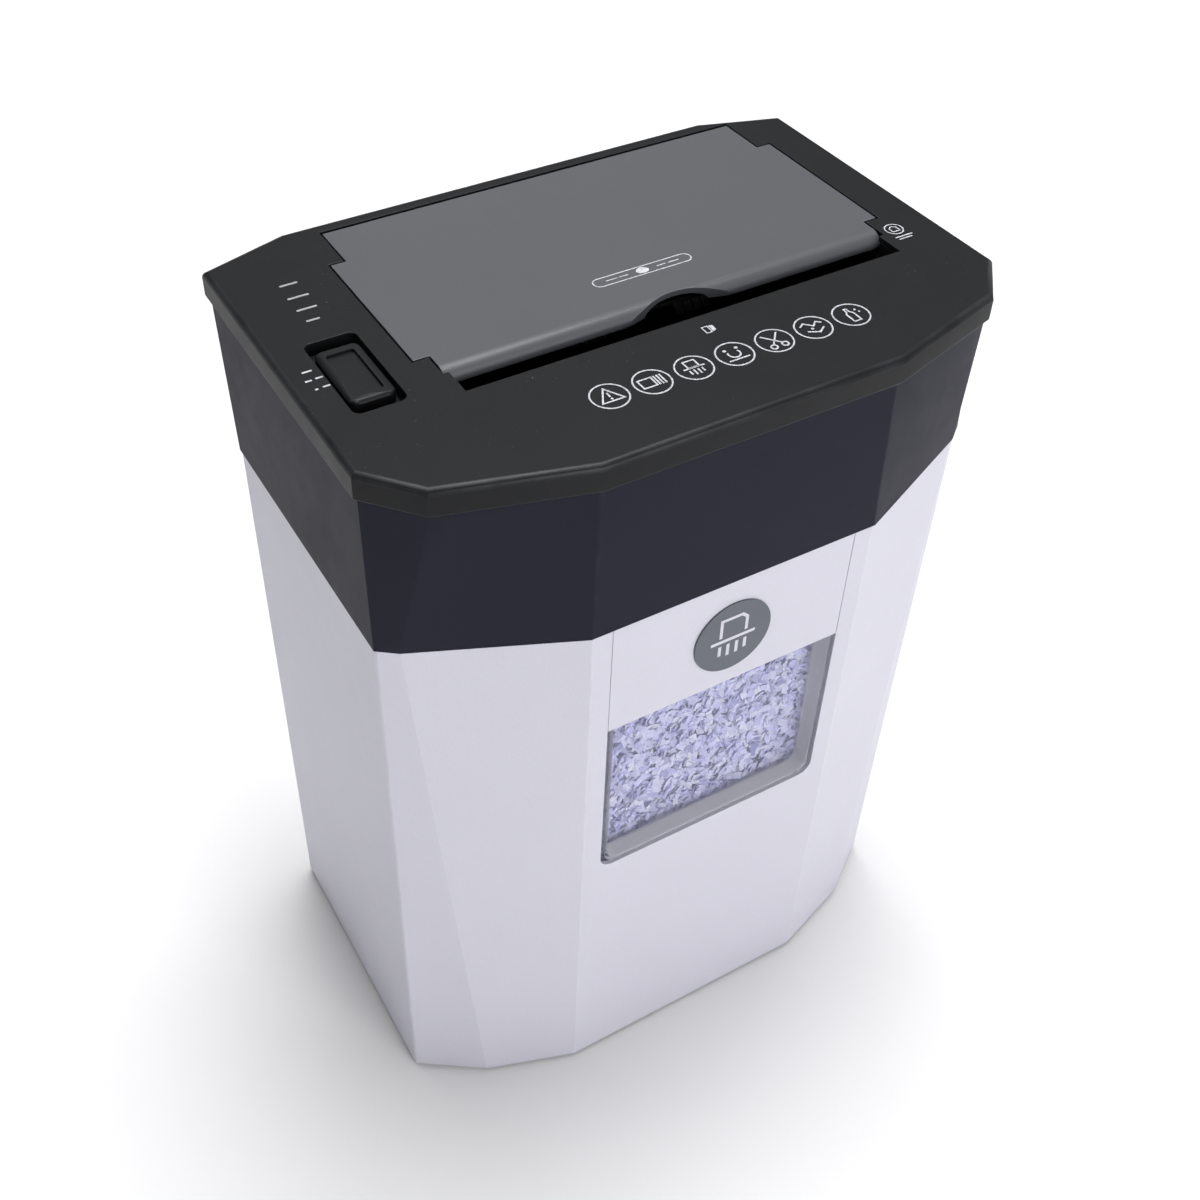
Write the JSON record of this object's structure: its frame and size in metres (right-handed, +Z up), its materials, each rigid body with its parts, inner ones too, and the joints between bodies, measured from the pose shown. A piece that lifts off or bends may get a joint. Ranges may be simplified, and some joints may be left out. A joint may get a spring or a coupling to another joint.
{
  "type": "paper shredder",
  "caption": "Paper shredder: a faceted cutter head with an auto-feed lid and manual throat, lifting off a tapered bin with a clear window full of cut paper.",
  "frame": {"origin": "on the floor under the middle of the body", "axes": "+Z up, -Y out of the front with the window, +X to the right seen from the front"},
  "size_m": [0.335, 0.233, 0.4591],
  "materials": {
    "white_shell": "satin",
    "badge_grey": "satin",
    "clear_window": "gloss",
    "cut_paper": "matte",
    "foot_rubber": "matte",
    "black_cover": "satin",
    "dark_housing": "satin",
    "lid_grey": "satin",
    "light_bar": "gloss",
    "circuit_board": "satin",
    "switch_moulding": "satin",
    "comb_plastic": "matte",
    "frame_steel": "satin",
    "shaft_steel": "satin",
    "cutter_steel": "satin",
    "gear_steel": "satin",
    "screw_steel": "polished",
    "bush_brass": "satin",
    "magnet_iron": "matte",
    "gear_plastic": "satin",
    "roller_rubber": "matte"
  },
  "bodies": {
    "bin": {"bin_shell": "white_shell", "front_panel": "white_shell", "front_badge": "badge_grey", "bin_window": "clear_window", "shredded_paper": "cut_paper", "bin_feet": "foot_rubber"},
    "head": {"top_cover": "black_cover", "head_housing": "dark_housing", "head_base": "dark_housing", "exit_guard": "dark_housing", "feed_tray": "black_cover", "cord_gland": "foot_rubber", "cover_screws": "screw_steel", "indicator_lenses": "light_bar", "indicator_board": "circuit_board", "hinge_pins": "shaft_steel", "slide_switch": "switch_moulding", "side_frame_left": "frame_steel", "side_frame_right": "frame_steel", "tie_rods": "shaft_steel", "frame_screws": "screw_steel", "motor_screws": "screw_steel", "shaft_bushes": "bush_brass", "gear_axles": "shaft_steel", "stripper_front": "comb_plastic", "stripper_rear": "comb_plastic", "motor_can": "frame_steel", "motor_end_bell": "switch_moulding", "motor_magnets": "magnet_iron", "control_board": "circuit_board", "board_parts": "switch_moulding", "interlock_switch": "switch_moulding"},
    "lid": {"lid_panel": "lid_grey", "plate_guides": "lid_grey"},
    "pressure_plate": {"pressure_plate": "black_cover", "pressure_pads": "foot_rubber"},
    "mode_switch": {"switch_knob": "black_cover"},
    "rear_cutter": {"cutter_shaft_rear": "shaft_steel", "cutter_discs_rear": "cutter_steel", "cutter_spacers_rear": "shaft_steel", "cutter_gear_rear": "gear_steel", "bull_gear": "gear_steel"},
    "front_cutter": {"cutter_shaft_front": "shaft_steel", "cutter_discs_front": "cutter_steel", "cutter_spacers_front": "shaft_steel", "cutter_gear_front": "gear_steel"},
    "idler": {"idler_gear": "gear_plastic"},
    "feed_roller": {"feed_shaft": "shaft_steel", "feed_gear": "gear_plastic", "feed_rollers": "roller_rubber"},
    "reduction": {"reduction_wheel": "gear_plastic", "reduction_pinion": "gear_steel"},
    "motor_rotor": {"motor_shaft": "shaft_steel", "motor_armature": "magnet_iron", "motor_pinion": "gear_steel", "motor_fan": "gear_plastic"},
    "interlock": {"interlock_plunger": "gear_plastic"}
  },
  "joints": [
    {"name": "head_lift", "type": "slide", "parent": "bin", "child": "head", "axis": [0, 0, 1], "range_m": [0, 0.2]},
    {"name": "lid_hinge", "type": "hinge", "parent": "head", "child": "lid", "pos_m": [0.0155, 0.103, 0.4555], "axis": [-1, 0, 0], "range_deg": [0, 95]},
    {"name": "plate_travel", "type": "slide", "parent": "lid", "child": "pressure_plate", "axis": [0, 0, 1], "range_m": [0, 0.003], "stiffness_N_per_m": 300, "springref_m": -0.004},
    {"name": "mode_slide", "type": "slide", "parent": "head", "child": "mode_switch", "axis": [0, 1, 0], "range_m": [-0.007, 0.007]},
    {"name": "rear_cutter_spin", "type": "hinge", "parent": "head", "child": "rear_cutter", "pos_m": [0.0155, -0.023, 0.392], "axis": [1, 0, 0], "continuous": true},
    {"name": "front_cutter_spin", "type": "hinge", "parent": "head", "child": "front_cutter", "pos_m": [0.0155, -0.053, 0.392], "axis": [1, 0, 0], "continuous": true},
    {"name": "idler_spin", "type": "hinge", "parent": "head", "child": "idler", "pos_m": [0.0155, -0.01372, 0.41736], "axis": [1, 0, 0], "continuous": true},
    {"name": "feed_roller_spin", "type": "hinge", "parent": "head", "child": "feed_roller", "pos_m": [0.0155, 0.01, 0.421], "axis": [1, 0, 0], "continuous": true},
    {"name": "reduction_spin", "type": "hinge", "parent": "head", "child": "reduction", "pos_m": [0.0155, 0.01098, 0.39799], "axis": [1, 0, 0], "continuous": true},
    {"name": "motor_spin", "type": "hinge", "parent": "head", "child": "motor_rotor", "pos_m": [0.0155, 0.04593, 0.39616], "axis": [1, 0, 0], "continuous": true},
    {"name": "interlock_press", "type": "slide", "parent": "head", "child": "interlock", "axis": [0, 0, 1], "range_m": [0, 0.003], "stiffness_N_per_m": 200, "springref_m": -0.003}
  ],
  "couplings": [
    {"joint": "front_cutter_spin", "follows": "rear_cutter_spin", "ratio": -1},
    {"joint": "idler_spin", "follows": "rear_cutter_spin", "ratio": -1.25},
    {"joint": "feed_roller_spin", "follows": "rear_cutter_spin", "ratio": 1.25},
    {"joint": "reduction_spin", "follows": "rear_cutter_spin", "ratio": -2.8333},
    {"joint": "motor_spin", "follows": "rear_cutter_spin", "ratio": 17}
  ]
}
